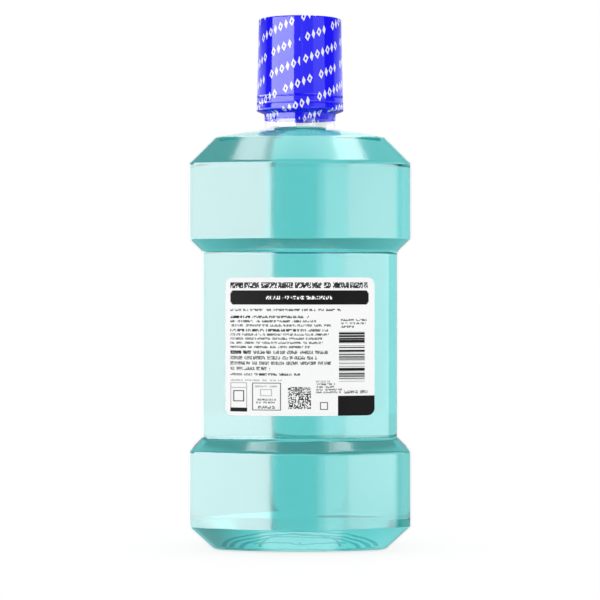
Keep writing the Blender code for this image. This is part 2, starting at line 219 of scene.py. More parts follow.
def skin(name, points, faces, slots, crease=30, merged=True, film_map=None):
    """A smooth mesh of these faces, each with its material slot, sharp where it bends by more than crease
    degrees. Points that meet are merged if asked. film_map places each face's corners on the film's map."""
    mesh = bpy.data.meshes.new(name)
    mesh.from_pydata(points.reshape(-1, 3).tolist(), [], faces)
    mesh.polygons.foreach_set("material_index", slots.astype(np.int32))
    if film_map is not None:
        mesh.uv_layers.new(name="film").uv.foreach_set("vector", film_map.astype(np.float32).ravel())
    if merged:
        shape = bmesh.new()
        shape.from_mesh(mesh)
        bmesh.ops.remove_doubles(shape, verts=shape.verts, dist=MERGE_DISTANCE)
        shape.to_mesh(mesh)
        shape.free()
    mesh.shade_smooth()
    mesh.set_sharp_from_angle(angle=math.radians(crease))
    return mesh


def ring_quads(rows, columns):
    """The quads between rings of equally many points: each with its next, and the last with the first."""
    grid = np.arange(rows * columns).reshape(rows, columns)
    after = np.roll(grid, -1, axis=1)
    return np.stack((grid[:-1], after[:-1], after[1:], grid[1:]), axis=-1).reshape(-1, 4)


def closed_loft(name, rings, slots=0):
    """A skin of quads through rings of equally many points, closed by a polygon at each end. slots gives the
    material slot of each row of quads, or one for all."""
    points = np.array(rings)
    rows, columns = points.shape[:2]
    quads = ring_quads(rows, columns)
    ends = [list(range(columns))[::-1], list(range((rows - 1) * columns, rows * columns))]
    row_slots = np.broadcast_to(slots, rows - 1)
    face_slots = np.concatenate((np.repeat(row_slots, columns), row_slots[[0, -1]]))
    return skin(name, points, quads.tolist() + ends, face_slots, merged=False)


def add_piece(mesh, body, slot, materials, *nodes):
    """Shows the mesh as a piece of this body that stands for these CAD nodes."""
    piece = bpy.data.objects.new(mesh.name, mesh)
    bpy.context.scene.collection.objects.link(piece)
    for material in materials:
        mesh.materials.append(material)
    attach(piece, body)
    if nodes:
        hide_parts(*nodes)
    return piece


def linear(code):
    """The linear colour of an sRGB hex code."""
    value = np.array([int(code[i : i + 2], 16) for i in (1, 3, 5)]) / 255
    return (*np.where(value <= 0.04045, value / 12.92, ((value + 0.055) / 1.055) ** 2.4).tolist(), 1.0)


def add_node(tree, kind, inputs, stops=(), **settings):
    """Adds a shader node with its settings. Each input takes a value, or is linked to what it is given: an
    Amount, a socket, or a node by its first output. stops are the places and levels of a ramp, which keeps its
    end levels beyond them."""
    made = tree.nodes.new("ShaderNode" + kind)
    for name, value in settings.items():
        setattr(made, name, value)
    for _ in stops[2:]:
        made.color_ramp.elements.new(1.0)
    for i, (place, level) in enumerate(stops):
        made.color_ramp.elements[i].position = place
        made.color_ramp.elements[i].color = (level, level, level, 1)
    for key, value in inputs.items():
        if isinstance(value, Amount):
            value = value.socket
        elif isinstance(value, bpy.types.Node):
            value = value.outputs[0]
        if isinstance(value, bpy.types.NodeSocket):
            tree.links.new(value, made.inputs[key])
        else:
            made.inputs[key].default_value = value
    return made


class Amount:
    """A number that a material works out at each point. Arithmetic on it adds nodes to its tree."""

    def __init__(self, socket):
        self.socket = socket

    def worked(self, operation, *others):
        """What this operation makes of the amount and the others."""
        inputs = dict(enumerate((self, *others)))
        return Amount(add_node(self.socket.id_data, "Math", inputs, operation=operation).outputs[0])

    __abs__ = partialmethod(worked, "ABSOLUTE")
    __floor__ = partialmethod(worked, "FLOOR")
    __add__ = partialmethod(worked, "ADD")
    __sub__ = partialmethod(worked, "SUBTRACT")
    __mul__ = partialmethod(worked, "MULTIPLY")
    __truediv__ = partialmethod(worked, "DIVIDE")
    __mod__ = partialmethod(worked, "FLOORED_MODULO")
    __pow__ = partialmethod(worked, "POWER")
    __lt__ = partialmethod(worked, "LESS_THAN")
    __gt__ = partialmethod(worked, "GREATER_THAN")
    at_least = partialmethod(worked, "MAXIMUM")

    def __rsub__(self, other):
        return (self - other) * -1.0

    def blend(self, low, high):
        """Low where the amount is 0 and high where it is 1: low + (high - low) amount."""
        return self * (high - low) + low

    def step(self, start, end, low, high):
        """Low before start, high after end, and a smooth step between them."""
        inputs = dict(enumerate((self, start, end, low, high)))
        made = add_node(self.socket.id_data, "MapRange", inputs, interpolation_type="SMOOTHSTEP")
        return Amount(made.outputs[0])


def new_material(name):
    """An empty node material and its tree."""
    material = bpy.data.materials.new(name)
    material.use_nodes = True
    material.node_tree.nodes.clear()
    return material, material.node_tree


RIPPLE_SCALE = 90.0  # ripples of about 11 mm
RIPPLE_DEPTH = 0.05 * MM


def thin_clear(name, tint, mirrored, roughness, ripple):
    """A clear skin too thin to bend what is seen through it. Its outer side mirrors an even share at every
    angle: more than such a skin does head on, under dimmer lamps, and less at a grazing angle."""
    material, tree = new_material(name)
    place = add_node(tree, "TexCoord", {}).outputs["Object"]
    noise = add_node(tree, "TexNoise", {"Vector": place, "Scale": RIPPLE_SCALE, "Detail": 2.0})
    bump = add_node(tree, "Bump", {"Strength": ripple, "Distance": RIPPLE_DEPTH, "Height": noise})
    inner_side = Amount(add_node(tree, "NewGeometry", {}).outputs["Backfacing"])
    gloss = add_node(tree, "BsdfGlossy", {"Color": linear("#ffffff"), "Roughness": roughness, "Normal": bump})
    clear = add_node(tree, "BsdfTransparent", {"Color": linear(tint)})
    share = (1.0 - inner_side) * mirrored
    mix = add_node(tree, "MixShader", {0: share, 1: clear, 2: gloss})
    add_node(tree, "OutputMaterial", {"Surface": mix})
    return material


# The blown wall: PET, glossy from a polished mould, with a soft mirror image of the lamps
BLOWN_PET = thin_clear("blown_clear_pet", "#fbfefe", 0.138, 0.12, 0.15)
# The wall's inner side, which the liquid wets and which mirrors next to nothing
WETTED_PET = thin_clear("wetted_clear_pet", "#fbfefe", 0.002, 0.03, 0.1)

# The neck: the preform's own moulded wall, thick enough to bend what is seen through it
NECK_PET, tree = new_material("moulded_clear_pet")
shader = add_node(tree, "BsdfPrincipled", {
    "Base Color": linear("#f7fcfc"),
    "Roughness": 0.02,
    "IOR": 1.575,
    "Transmission Weight": 1.0,
})
add_node(tree, "OutputMaterial", {"Surface": shader})

THREAD_FOOT = 206.8 * MM
THREAD_PITCH = 3.2 * MM
THREAD_TURNS = 1.4
THREAD_HEIGHT = 1.1 * MM
THREAD_FLANK = (0.35 * MM, 0.95 * MM)  # above and below its middle, from its crest's edge to the plain neck
THREAD_FADE = 0.08  # share of its length over which each end runs out
LUG_HEIGHTS = (202.5 * MM, 205.9 * MM)
LUG_REACH = 1.7 * MM
LUG_TURN = 16.0  # degrees round the neck at its full reach
LUG_RAMP = 20.0  # degrees over which it then runs out
LUG_EDGE = 1.0  # degrees to each side of its steep edge
NECK_STEP = 0.2 * MM
NECK_CLEAR = 200.4 * MM  # up to here the neck shows through the clear film, drawn as thin


def smooth_step(value, start, end):
    """0 before start, 1 after end, and 3t^2 - 2t^3 between them."""
    t = np.clip((value - start) / (end - start), 0, 1)
    return t * t * (3 - 2 * t)


def neck_radius_at(height):
    """The neck's outer radius at this height for each column: the plain neck, with a single-start thread
    whose middle climbs a pitch a turn, and under it two ramped lugs half a turn apart."""
    radius = np.full(COLUMNS, NECK_RADIUS)
    turned = (TURN + math.pi / 2) / (2 * math.pi)
    for lap in range(math.ceil(THREAD_TURNS) + 1):
        share = (turned + lap) / THREAD_TURNS
        middle = THREAD_FOOT + THREAD_PITCH * (turned + lap)
        fade = smooth_step(share, 0, THREAD_FADE) * (1 - smooth_step(share, 1 - THREAD_FADE, 1))
        radius += THREAD_HEIGHT * fade * (1 - smooth_step(abs(height - middle), *THREAD_FLANK))
    degrees = np.degrees(TURN) % 180
    edge = smooth_step(degrees, -LUG_EDGE, LUG_EDGE)
    ramp = np.where(degrees < LUG_TURN, edge, 1 - (degrees - LUG_TURN) / LUG_RAMP).clip(0, 1)
    inside = smooth_step(height, LUG_HEIGHTS[0], LUG_HEIGHTS[0] + NECK_STEP)
    inside *= 1 - smooth_step(height, LUG_HEIGHTS[1] - NECK_STEP, LUG_HEIGHTS[1])
    return radius + LUG_REACH * ramp * inside


outer = [circle(POLE, PUSH_UP - GATE_DROP), circle(NUB_RADIUS, PUSH_UP - GATE_DROP)]
outer += body_rings(0, NECK_RADIUS)
rim_foot = NECK_RIM - RIM_ROUNDING
neck_levels = np.arange(DOME_TOP + NECK_FILLET + NECK_STEP, rim_foot, NECK_STEP)
neck = [circle(neck_radius_at(level), level) for level in neck_levels]
rim = np.vstack((
    arc_points((NECK_RADIUS - RIM_ROUNDING, rim_foot), RIM_ROUNDING, 0, math.pi / 2, RIM_STEPS),
    arc_points((BORE_RADIUS + RIM_ROUNDING, rim_foot), RIM_ROUNDING, math.pi / 2, math.pi, RIM_STEPS),
))
inner = [circle(BORE_RADIUS, NECK_CLEAR), *body_rings(WALL, BORE_RADIUS)[::-1], circle(POLE, PUSH_UP + WALL)]
thin_rows = len(outer) - 1 + sum(neck_levels < NECK_CLEAR)
inner_rows = len(inner) - 1
rings = outer + neck + [circle(r, z) for r, z in rim] + inner
slots = [0] * thin_rows + [1] * (len(rings) - 1 - thin_rows - inner_rows) + [2] * inner_rows
bottle_mesh = closed_loft("clear_bottle", rings, slots)
add_piece(bottle_mesh, "bottle", "clear_pet", (BLOWN_PET, NECK_PET, WETTED_PET), "bottle")


# Mouthwash: a clear liquid, mostly water and dyed teal, which wets the whole inside up to the foot of the
# neck. Its colour is in its volume, so a longer way through it looks deeper.
WETTING_GAP = 0.05 * MM
LIQUID_TOP = 193.5 * MM
MENISCUS = 0.2 * MM  # the surface's rise at the wall, by the eighth power of the way out
SURFACE_SHARES = np.linspace(1, 0.01, 12)

# The steps of the pushed-up base are drawn as painted shade: thin dark lines painted into the liquid's tint in
# the slope round it. All their sizes are in mm: half width, height above the foot, and foot of the arcs, and
# height and half width of the level ones.
BASE_ARCS = ((34.5, 8.4, 2.6), (31.0, 7.0, 2.4), (26.5, 6.2, 2.2), (18.0, 6.6, 3.2))
BASE_LINES = ((5.0, 21.0), (1.9, 34.0))
LINE_WIDTH = 0.26  # half of it
LINE_WANDER = 2.4  # how far the lines wander up and down in all
LINE_WANDER_SCALE = 110.0  # once in about 9 mm
GATE_MARK = (5.6, 0.7, 1.2)  # height and half width of the painted shade mark round the nub, and how much wider it is than tall


def painted_base_shade_lines(tree):
    """1 on the base's painted shade lines, as seen from outside. An arc is where (x / half width)^2 + (rise /
    height)^2 is near 1."""
    place = add_node(tree, "TexCoord", {}).outputs["Object"]
    noise = add_node(tree, "TexNoise", {"Vector": place, "Scale": LINE_WANDER_SCALE, "Detail": 2.0})
    x, _, z = map(Amount, add_node(tree, "SeparateXYZ", {0: place}).outputs)
    across = abs(x) / MM
    level = z / MM + (Amount(noise.outputs[0]) - 0.5) * LINE_WANDER
    mark_height, mark_width, mark_shape = GATE_MARK
    shade_lines = across + abs(level - mark_height) * mark_shape < mark_width
    for half_width, height, foot in BASE_ARCS:
        rise = (level - foot).at_least(0.0)
        off = abs(((across / half_width) ** 2.0 + (rise / height) ** 2.0) ** 0.5 - 1.0)
        shade_lines = shade_lines.at_least((off < LINE_WIDTH / height) * (level > foot))
    for height, half_width in BASE_LINES:
        shade_lines = shade_lines.at_least((abs(level - height) < LINE_WIDTH) * (across < half_width))
    inner_side = Amount(add_node(tree, "NewGeometry", {}).outputs["Backfacing"])
    return shade_lines * (1.0 - inner_side) * (z < BASE_CHAMFER)


TEAL_LIQUID, tree = new_material("teal_dyed_water")
shade_lines = painted_base_shade_lines(tree)
# On the lines the liquid's tint goes from #c6ffff to #6cbfc4: painted shade.
tint = add_node(tree, "Mix", {0: shade_lines, 6: linear("#c6ffff"), 7: linear("#6cbfc4")}, data_type="RGBA")
shader = add_node(tree, "BsdfPrincipled", {
    "Base Color": tint.outputs[2],
    "Roughness": 0.0,
    "IOR": 1.34,
    "Transmission Weight": 1.0,
})
dye = add_node(tree, "VolumeAbsorption", {"Color": linear("#00dad9"), "Density": 18.0})
add_node(tree, "OutputMaterial", {"Surface": shader, "Volume": dye})

radius = BORE_RADIUS - WETTING_GAP
surface = [circle(radius * share, LIQUID_TOP + MENISCUS * share**8) for share in SURFACE_SHARES]
rings = [circle(POLE, PUSH_UP + WALL + WETTING_GAP)] + body_rings(WALL + WETTING_GAP, radius) + surface
liquid_mesh = closed_loft("teal_mouthwash", rings)
mouthwash = add_piece(liquid_mesh, "bottle", "teal_liquid", (TEAL_LIQUID,), "mouthwash")


# Label: white polypropylene film with an adhesive back, die cut with round corners and wiped onto the waist.
# It is printed in black and greys: specks in runs stand where the real one has its reading matter.
LABEL_WIDTH = 67.3 * MM
LABEL_HEIGHT = 62.2 * MM
LABEL_CORNER = 3.2 * MM
LABEL_FOOT = 62.35 * MM
LABEL_RADIUS = 90.15 * MM
LABEL_THICKNESS = 0.08 * MM
LABEL_CORNER_STEPS = 8
PRINT_COLUMNS = 150
CELL = LABEL_WIDTH / PRINT_COLUMNS
WHITE, BLACK, GREY, PALE, BACK = range(5)
SPECK = 0.5  # about how tall a speck of the reading matter is, in mm
SPECK_SHARES = (0.5, 0.28, 0.22)  # of the ink, of one shade paler, and bare
FRAME_LINE = 0.4
ROUNDING = 1.8
ROUNDING_STEPS = 5
CODE_ROWS = 22
CODE_BARE = 0.5
BAR_ROWS = 55
BARS_BARE, BARS_PALE = 0.42, 0.25
# left, right, foot and top of each printed place in mm from the label's lower left corner, its ink, and what
# fills it: solid, rounded, reading matter, cells, level bars, or a frame
PRINTED = (
    (2.2, 64.2, 57.4, 60.0, BLACK, "reading"),
    (2.2, 64.4, 50.0, 56.4, BLACK, "rounded"),
    (18.4, 48.2, 52.3, 53.9, WHITE, "reading"),
    (2.2, 52.1, 47.1, 48.1, GREY, "reading"),
    (2.2, 11.4, 43.9, 45.0, BLACK, "reading"),
    (12.0, 37.6, 43.9, 45.0, GREY, "reading"),
    (2.2, 41.0, 42.0, 43.0, GREY, "reading"),
    (2.2, 47.4, 40.1, 41.1, GREY, "reading"),
    (2.2, 31.8, 37.9, 39.0, BLACK, "reading"),
    (32.4, 46.4, 37.9, 39.0, GREY, "reading"),
    (2.2, 46.8, 36.0, 37.0, GREY, "reading"),
    (2.2, 44.2, 34.2, 35.2, GREY, "reading"),
    (2.2, 43.8, 32.3, 33.3, GREY, "reading"),
    (2.2, 38.2, 30.4, 31.4, GREY, "reading"),
    (2.2, 12.0, 27.8, 29.3, BLACK, "reading"),
    (12.6, 46.4, 27.8, 29.3, GREY, "reading"),
    (2.2, 41.3, 25.3, 26.8, GREY, "reading"),
    (2.2, 47.4, 22.9, 24.4, GREY, "reading"),
    (2.2, 20.2, 20.5, 22.0, GREY, "reading"),
    (2.2, 15.0, 18.1, 19.1, GREY, "reading"),
    (15.4, 33.6, 18.1, 19.1, BLACK, "reading"),
    (2.2, 25.6, 15.6, 16.3, PALE, "reading"),
    (2.2, 9.8, 12.4, 15.0, PALE, "frame"),
    (2.2, 9.8, 1.8, 15.0, PALE, "frame"),
    (3.4, 8.6, 6.4, 11.4, BLACK, "frame"),
    (2.2, 9.8, 1.8, 3.6, BLACK, "solid"),
    (11.9, 25.2, 2.4, 14.9, GREY, "frame"),
    (15.8, 21.2, 8.8, 12.0, PALE, "frame"),
    (13.6, 23.6, 12.8, 13.6, PALE, "reading"),
    (14.2, 23.0, 6.9, 7.7, GREY, "reading"),
    (14.0, 23.2, 5.6, 6.4, GREY, "reading"),
    (14.6, 22.6, 3.2, 4.4, GREY, "reading"),
    (28.4, 38.8, 3.1, 13.0, BLACK, "cells"),
    (41.0, 47.0, 15.0, 15.9, PALE, "reading"),
    (41.0, 49.2, 13.8, 14.6, GREY, "reading"),
    (41.0, 49.0, 12.6, 13.4, GREY, "reading"),
    (41.0, 52.6, 11.4, 12.2, GREY, "reading"),
    (41.0, 52.2, 10.2, 11.0, GREY, "reading"),
    (53.4, 64.0, 10.0, 11.4, GREY, "reading"),
    (42.8, 46.4, 2.7, 6.2, GREY, "frame"),
    (50.5, 67.3, 0.0, 9.0, BLACK, "solid"),
    (52.2, 63.6, 42.6, 43.5, GREY, "reading"),
    (52.2, 63.4, 41.1, 42.0, GREY, "reading"),
    (52.2, 57.8, 39.6, 40.5, GREY, "reading"),
    (51.3, 62.9, 15.4, 37.8, BLACK, "bars"),
)


def reading_matter(rows, columns, ink, chance):
    """Inks of a block of specks, -1 where it is bare: runs of four to sixteen cells with a bare cell or two
    between them, in which most cells hold the ink or one shade paler."""
    paler = {WHITE: GREY, BLACK: GREY, GREY: PALE, PALE: PALE}[ink]
    block = chance.choice((ink, paler, -1), (rows, columns), p=SPECK_SHARES)
    at = 0
    while at < columns:
        at += int(chance.integers(4, 17))
        bare = int(chance.integers(1, 3))
        block[:, at : at + bare] = -1
        at += bare
    return block


def row_edges(foot, top, fill):
    """Where a printed place needs the edge of a row, by what fills it."""
    if fill == "frame":
        return (foot, foot + FRAME_LINE, top - FRAME_LINE, top)
    if fill == "rounded":
        corner = np.linspace(0, ROUNDING, ROUNDING_STEPS + 1)
        return np.concatenate((foot + corner, top - ROUNDING + corner))
    rows = {"reading": round((top - foot) / SPECK), "cells": CODE_ROWS, "bars": BAR_ROWS, "solid": 1}[fill]
    return np.linspace(foot, top, rows + 1)


def printed_rows():
    """The heights of the label's rows and the ink of each cell, painted place by place."""
    arc = LABEL_CORNER / MM * (1 - np.cos(np.linspace(0, math.pi / 2, LABEL_CORNER_STEPS + 1)))
    edges = [arc, LABEL_HEIGHT / MM - arc]
    edges += [row_edges(foot, top, fill) for _, _, foot, top, _, fill in PRINTED]
    edges = np.unique(np.round(np.concatenate(edges), 2))
    middles = (edges[:-1] + edges[1:]) / 2
    inks = np.full((len(middles), PRINT_COLUMNS), WHITE)
    chance = np.random.default_rng(7)
    for left, right, foot, top, ink, fill in PRINTED:
        start, end = round(left * MM / CELL), round(right * MM / CELL)
        rows = np.flatnonzero((middles > foot) & (middles < top))
        place = np.full((len(rows), end - start), ink)
        if fill == "reading":
            place = reading_matter(len(rows), end - start, ink, chance)
        elif fill == "cells":
            place[chance.random(place.shape) < CODE_BARE] = -1
        elif fill == "bars":
            place[chance.random(len(rows)) < BARS_BARE] = -1
            place[chance.random(len(rows)) < BARS_PALE] = PALE
        elif fill == "frame":
            inside = (middles[rows] > foot + FRAME_LINE) & (middles[rows] < top - FRAME_LINE)
            place[np.ix_(inside, np.arange(1, end - start - 1))] = -1
        elif fill == "rounded":
            beyond = np.clip(ROUNDING - np.minimum(middles[rows] - foot, top - middles[rows]), 0, None)
            drawn_in = ROUNDING - np.sqrt(ROUNDING**2 - beyond**2)
            side = (np.arange(end - start) + 0.5) * CELL / MM
            place[np.minimum(side, side[::-1])[None, :] < drawn_in[:, None]] = -1
        cells = np.ix_(rows, np.arange(start, end))
        inks[cells] = np.where(place < 0, inks[cells], place)
    return edges * MM, inks


def grid_quads(rows, columns):
    """The quads of a grid of points, row by row."""
    grid = np.arange(rows * columns).reshape(rows, columns)
    return np.stack((grid[:-1, :-1], grid[:-1, 1:], grid[1:, 1:], grid[1:, :-1]), axis=-1).reshape(-1, 4)


def label_mesh():
    """A sheet bent round the waist: x across and z up map to (r sin t, c - r cos t, z), sin t = x / R. Rows
    near the top and the foot are narrowed to the arc of the label's corners."""
    heights, inks = printed_rows()
    up = np.clip(np.abs(heights - LABEL_HEIGHT / 2) - (LABEL_HEIGHT / 2 - LABEL_CORNER), 0, None)
    limit = LABEL_WIDTH / 2 - LABEL_CORNER + np.sqrt(np.clip(LABEL_CORNER**2 - up**2, 0, None))
    across = np.linspace(-LABEL_WIDTH / 2, LABEL_WIDTH / 2, PRINT_COLUMNS + 1)
    across = np.clip(across[None, :], -limit[:, None], limit[:, None])
    level = np.broadcast_to(heights[:, None] + LABEL_FOOT, across.shape)
    turn = np.arcsin(across / LABEL_RADIUS)
    sheets = [
        np.stack((radius * np.sin(turn), FACE_CENTRE - radius * np.cos(turn), level), axis=-1)
        for radius in (LABEL_RADIUS + LABEL_THICKNESS, LABEL_RADIUS)
    ]
    grid = np.arange(across.size).reshape(across.shape)
    front = grid_quads(*across.shape)
    back = front[:, ::-1] + across.size
    loop = np.concatenate((grid[0, :-1], grid[:-1, -1], grid[-1, :0:-1], grid[:0:-1, 0]))
    after = np.roll(loop, -1)
    edge = np.column_stack((after, loop, loop + across.size, after + across.size))
    slots = np.concatenate((inks.ravel(), np.full(len(back), BACK), np.full(len(edge), WHITE)))
    return skin("printed_back_label", np.stack(sheets), np.vstack((front, back, edge)).tolist(), slots)


GRAIN_SCALE = 2500.0  # grains of 0.4 mm, coarser than the film's own so that they show


def satin_film(name, colour, roughness, glow=0.0):
    """Printed or bare polypropylene film: a satin skin with a fine grain. glow stands for the light that
    comes through it."""
    material, tree = new_material(name)
    place = add_node(tree, "TexCoord", {}).outputs["Object"]
    grain = add_node(tree, "TexNoise", {"Vector": place, "Scale": GRAIN_SCALE, "Detail": 2.0})
    bump = add_node(tree, "Bump", {"Strength": 0.1, "Distance": 0.02 * MM, "Height": grain})
    shader = add_node(tree, "BsdfPrincipled", {
        "Base Color": linear(colour),
        "Roughness": roughness,
        "IOR": 1.49,
        "Specular IOR Level": 0.06,
        "Emission Color": linear(colour),
        "Emission Strength": glow,
        "Normal": bump,
    })
    add_node(tree, "OutputMaterial", {"Surface": shader})
    return material


LABEL_INKS = (
    satin_film("white_label_film", "#fdfdfd", 0.45),
    satin_film("black_label_ink", "#1c1b1c", 0.35),
    satin_film("grey_label_ink", "#626365", 0.4),
    satin_film("pale_label_ink", "#bcbdbf", 0.4),
    # The label's back glows: painted light, for the light that comes through the label from behind.
    satin_film("white_label_back", "#f4f6f6", 0.5, 0.55),
)
add_piece(label_mesh(), "bottle", "label_film", LABEL_INKS, "back_label")


# Cap: blue polypropylene, injection moulded in one piece as a dosing cup inside a skirt that is squeezed to
# clear the lugs. Its own shape comes with the frame. The thread inside and the fill line are added here.
CAP_RIM = 202.1 * MM
THREAD_BORE = 15.8 * MM
CAP_THREAD_FOOT = 207.6 * MM
CAP_THREAD_TURNS = 1.25
CAP_THREAD_STEPS = 119
CAP_THREAD_FADE = 0.06
CAP_THREAD_END = 0.02  # share of its section that is left at each end
FILL_LINE = 229.0 * MM
FILL_LINE_STEPS = 96
# Their sections, outward and up from the wall, in mm
CAP_THREAD_SECTION = ((0.15, -0.9), (0.15, 0.9), (-0.2, 0.85), (-1.1, 0.4), (-1.1, -0.4), (-0.2, -0.85))
FILL_LINE_SECTION = ((0.1, -0.25), (0.1, 0.25), (-0.25, 0.12), (-0.25, -0.12))
CUP_RADIUS = 12.7 * MM
CLOUD_SCALE = 60.0  # clouds of about 17 mm, from the pigment's flow in the mould
SPARK_SCALE = 3000.0  # the mould's spark-eroded grain, of about 0.3 mm

CAP_PLASTIC, tree = new_material("moulded_blue_polypropylene")
place = add_node(tree, "TexCoord", {}).outputs["Object"]
cloud = add_node(tree, "TexNoise", {"Vector": place, "Scale": CLOUD_SCALE, "Detail": 3.0})
colour = add_node(tree, "Mix", {0: cloud, 6: linear("#2b23dc"), 7: linear("#352dea")}, data_type="RGBA")
spark = add_node(tree, "TexNoise", {"Vector": place, "Scale": SPARK_SCALE, "Detail": 2.0})
bump = add_node(tree, "Bump", {"Strength": 0.15, "Distance": 0.03 * MM, "Height": spark})
shader = add_node(tree, "BsdfPrincipled", {
    "Base Color": colour.outputs[2],
    "Roughness": 0.38,
    "IOR": 1.49,
    "Normal": bump,
})
add_node(tree, "OutputMaterial", {"Surface": shader})
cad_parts["cap"].data.materials.clear()
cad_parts["cap"].data.materials.append(CAP_PLASTIC)


def swept_rings(radius, turn, height, shares, section):
    """Rings of a section carried round the axis: each of its points (outward, up) in mm is scaled by the
    path's own share and set out from the path's radius, turn and height in its radial plane."""
    outward, up = (np.array(section).T * MM)[:, None, :] * shares[:, None]
    radius, turn = radius + outward, turn[:, None]
    return np.stack((radius * np.cos(turn), radius * np.sin(turn), height + up), axis=-1)


turns = np.linspace(0, 2 * math.pi * CAP_THREAD_TURNS, CAP_THREAD_STEPS + 1)
heights = CAP_THREAD_FOOT + THREAD_PITCH * turns[:, None] / (2 * math.pi)
way = np.linspace(0, 1, CAP_THREAD_STEPS + 1)
shares = smooth_step(way, 0, CAP_THREAD_FADE) * (1 - smooth_step(way, 1 - CAP_THREAD_FADE, 1))
shares = CAP_THREAD_END + (1 - CAP_THREAD_END) * shares
cap_thread = closed_loft("cap_thread", swept_rings(THREAD_BORE, turns, heights, shares, CAP_THREAD_SECTION))
add_piece(cap_thread, "cap", "cap_plastic", (CAP_PLASTIC,))

# The fill line's two ends meet.
turns = np.linspace(0, 2 * math.pi, FILL_LINE_STEPS + 1)
fill_line = swept_rings(CUP_RADIUS, turns, FILL_LINE, np.ones(FILL_LINE_STEPS + 1), FILL_LINE_SECTION)
add_piece(closed_loft("cup_fill_line", fill_line), "cap", "cap_plastic", (CAP_PLASTIC,))


# Shrink film: a tube of thin clear film, printed blue with rows of white marks and shrunk with hot air over
# the cap and the top of the neck. It parts along the cap's rim, its last few millimetres are unprinted, and
# its seam is a straight line down the labelled side, where the rows don't quite meet.
FILM = 0.2 * MM
SKIRT_RADIUS = 19.5 * MM
CAP_TAPER = 1.0 * MM
CAP_HEIGHT = 41.3 * MM
FILM_OFFSET = 0.6 * MM
FILM_EDGE_RADIUS = 0.8 * MM
FILM_EDGE_STEPS = 6
LIP_WIDTH = 3.2 * MM
LIP_START = 0.4 * MM
LIP_STEPS = 8
LIP_GATHER = 0.25 * MM
RUFFLES = ((9, 0.5, 0.7), (17, 0.3, 2.0), (31, 0.2, 4.0))  # waves a turn, share and phase
GROOVES = (2.4 * MM, 5.6 * MM)  # above the rim, where the film follows the cap's two grooves
GROOVE_DEPTH = 0.2 * MM
GROOVE_WIDTH = 0.3 * MM
GROOVED_LEVELS = np.arange(0, 8, 0.1) * MM  # the sleeve's rings above the rim, closer over the grooves
PLAIN_LEVELS = np.arange(8, 40, 2) * MM
TAIL_RADIUS = 16.45 * MM
PRINT_FOOT = 197.4 * MM
TAIL_LEVELS = np.array((194.1, 194.7, 197.1, 197.4, 198.0, 198.6)) * MM  # the band's rings round the neck
TUCK_GAP = 0.05 * MM
TUCK_DEPTH = 2.4 * MM
TUCK = ((0, 0), (0, 0.1), (0.06, 0.25), (0.82, 0.67), (0.96, 0.83), (1, 1))  # shares inward and downward
FILM_COLUMNS = 192
UV_TURN = 126.0  # mm round the film that the map's width stands for
UV_HEIGHT = 100.0  # mm along the film that the map's height stands for
UV_RIM = 0.3  # where the cap's rim is on the map


def film_mesh(name, profile, dips, start, gather, print_foot):
    """A tube through a profile of (radius, height) that runs upwards: an outer and an inner wall, closed at
    both ends. Each of its rings is drawn in by its dip. gather ruffles the radius near the profile's end by a
    sum of sines. The map holds the share of a turn from the seam and the way along the profile from start.
    The slots are the printed film's outer side, its inner side, and the clear film below print_foot."""
    turn = np.linspace(-math.pi / 2, 3 * math.pi / 2, FILM_COLUMNS + 1)
    along = np.concatenate(([0], np.cumsum(np.linalg.norm(np.diff(profile, axis=0), axis=1))))
    tangent = np.gradient(profile, axis=0)
    tangent /= np.linalg.norm(tangent, axis=1)[:, None]
    inward = np.column_stack((-tangent[:, 1], tangent[:, 0]))
    wave = sum(share * np.sin(count * turn + phase) for count, share, phase in RUFFLES)
    ruffle = gather * smooth_step(along, along[-1] - LIP_WIDTH, along[-1])[:, None] * wave[None, :]
    walls = []
    for depth in (0, FILM):
        radius = profile[:, 0, None] + inward[:, 0, None] * depth + ruffle - np.reshape(dips, (-1, 1))
        height = np.broadcast_to(profile[:, 1, None] + inward[:, 1, None] * depth, radius.shape)
        walls.append(np.stack((radius * np.cos(turn), radius * np.sin(turn), height), axis=-1))
    points = np.concatenate((walls[0], walls[1][::-1], walls[0][:1]))
    ways = np.concatenate((along, along[::-1], along[:1]))
    rows, columns = points.shape[:2]
    quads = grid_quads(rows, columns)
    u = np.broadcast_to(np.linspace(0, 1, columns), (rows, columns)).ravel()
    v = np.broadcast_to(UV_RIM + (start + ways[:, None]) / MM / UV_HEIGHT, (rows, columns)).ravel()
    middle = (points[:-1, 0, 2] + points[1:, 0, 2]) / 2
    slots = np.where(middle < print_foot, 2, np.arange(rows - 1) >= len(profile))
    film_map = np.column_stack((u, v))[quads.ravel()]
    return skin(name, points, quads.tolist(), np.repeat(slots, columns - 1), crease=50, film_map=film_map)


# The marks' sizes are in mm.
ROWS_A_TURN = 5  # so many rows lower where the film meets itself, so that the rows meet there
ROW_RISE = 9.8
ROW_SLOPE = math.atan(ROWS_A_TURN * ROW_RISE / UV_TURN)
ROW_PITCH = ROW_RISE * math.cos(ROW_SLOPE)
ROW_PHASE = 0.3
MARK_PITCH = 3.05
MARKS_A_GROUP = 13.0  # two groups of marks, seven and four, with a gap after each
GAPS = (7.0, 12.0)
LOZENGE = (1.4, 2.1)  # half width and half height of a lozenge
LOZENGE_OPENING = (0.55, 0.95)
SLIM_LOZENGE = (0.95, 2.1)
LEAN = 0.3
SEAM_PLACE = 1.2
SEAM_WIDTH = 0.25  # half of it
CREASE_SCALE = 220.0  # shrinkage creases of about 4.5 mm
CREASE_SHARE = 0.4  # their height as a share of the seam's


def lozenge(aside, up, half_width, half_height):
    """1 where the way aside is under half_width (1 - |up| / half_height)."""
    return aside < (1.0 - abs(up) / half_height) * half_width


